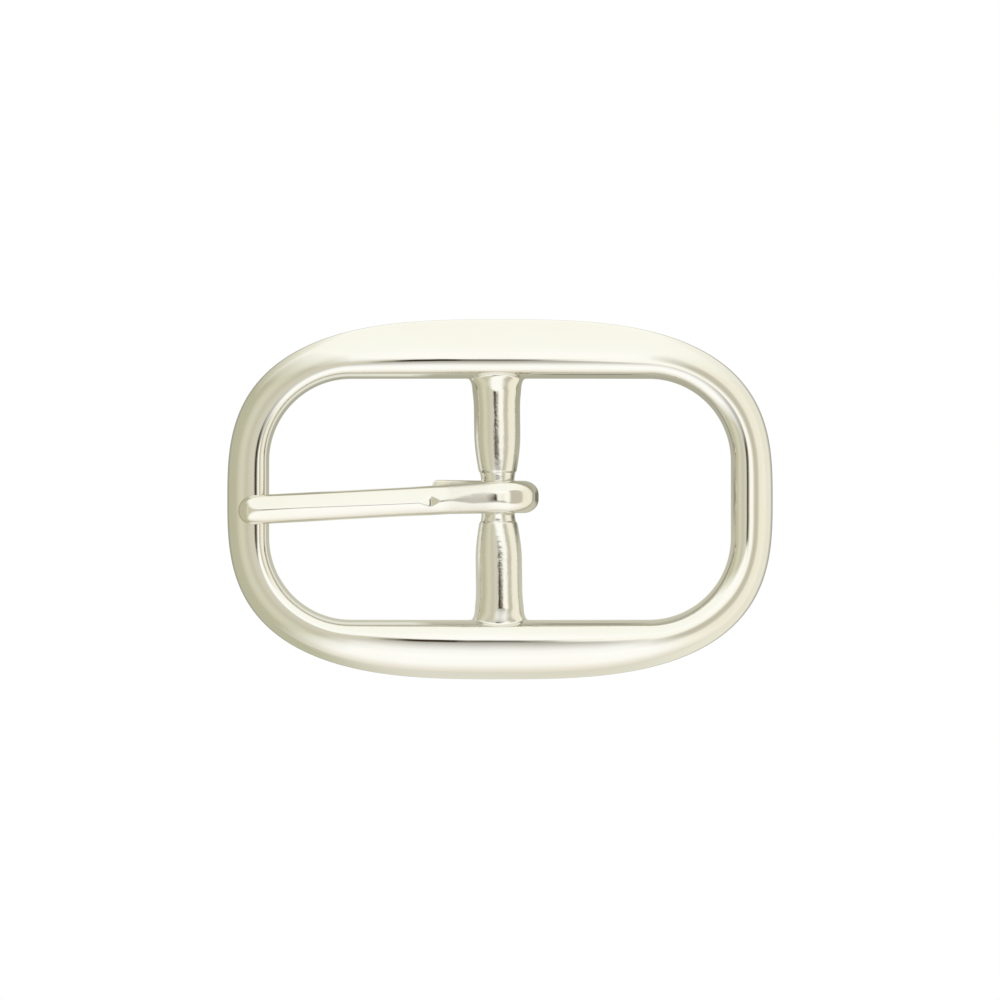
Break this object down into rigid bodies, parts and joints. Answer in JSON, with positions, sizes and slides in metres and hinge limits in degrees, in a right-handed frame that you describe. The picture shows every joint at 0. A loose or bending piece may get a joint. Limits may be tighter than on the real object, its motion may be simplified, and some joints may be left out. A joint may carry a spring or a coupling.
{
  "type": "belt buckle",
  "caption": "Rounded centre-bar belt buckle: a smooth plated frame with a waisted bar, and a half-round prong that swings on the bar and rests on the end rail.",
  "frame": {"origin": "middle of the buckle's footprint, at the level that its two ends rest on", "axes": "+X along the belt, away from the prong's tip; +Y across the strap, along the bar; +Z out of the polished face"},
  "size_m": [0.07, 0.046, 0.0089],
  "materials": {
    "frame_plating": "polished",
    "prong_plating": "polished"
  },
  "bodies": {
    "frame": {"frame": "frame_plating"},
    "prong": {"prong": "prong_plating"}
  },
  "joints": [
    {"name": "prong_swing", "type": "hinge", "parent": "frame", "child": "prong", "pos_m": [-0.00025, 0.0003, 0.0046], "axis": [0, 1, 0], "range_deg": [0, 178]}
  ]
}
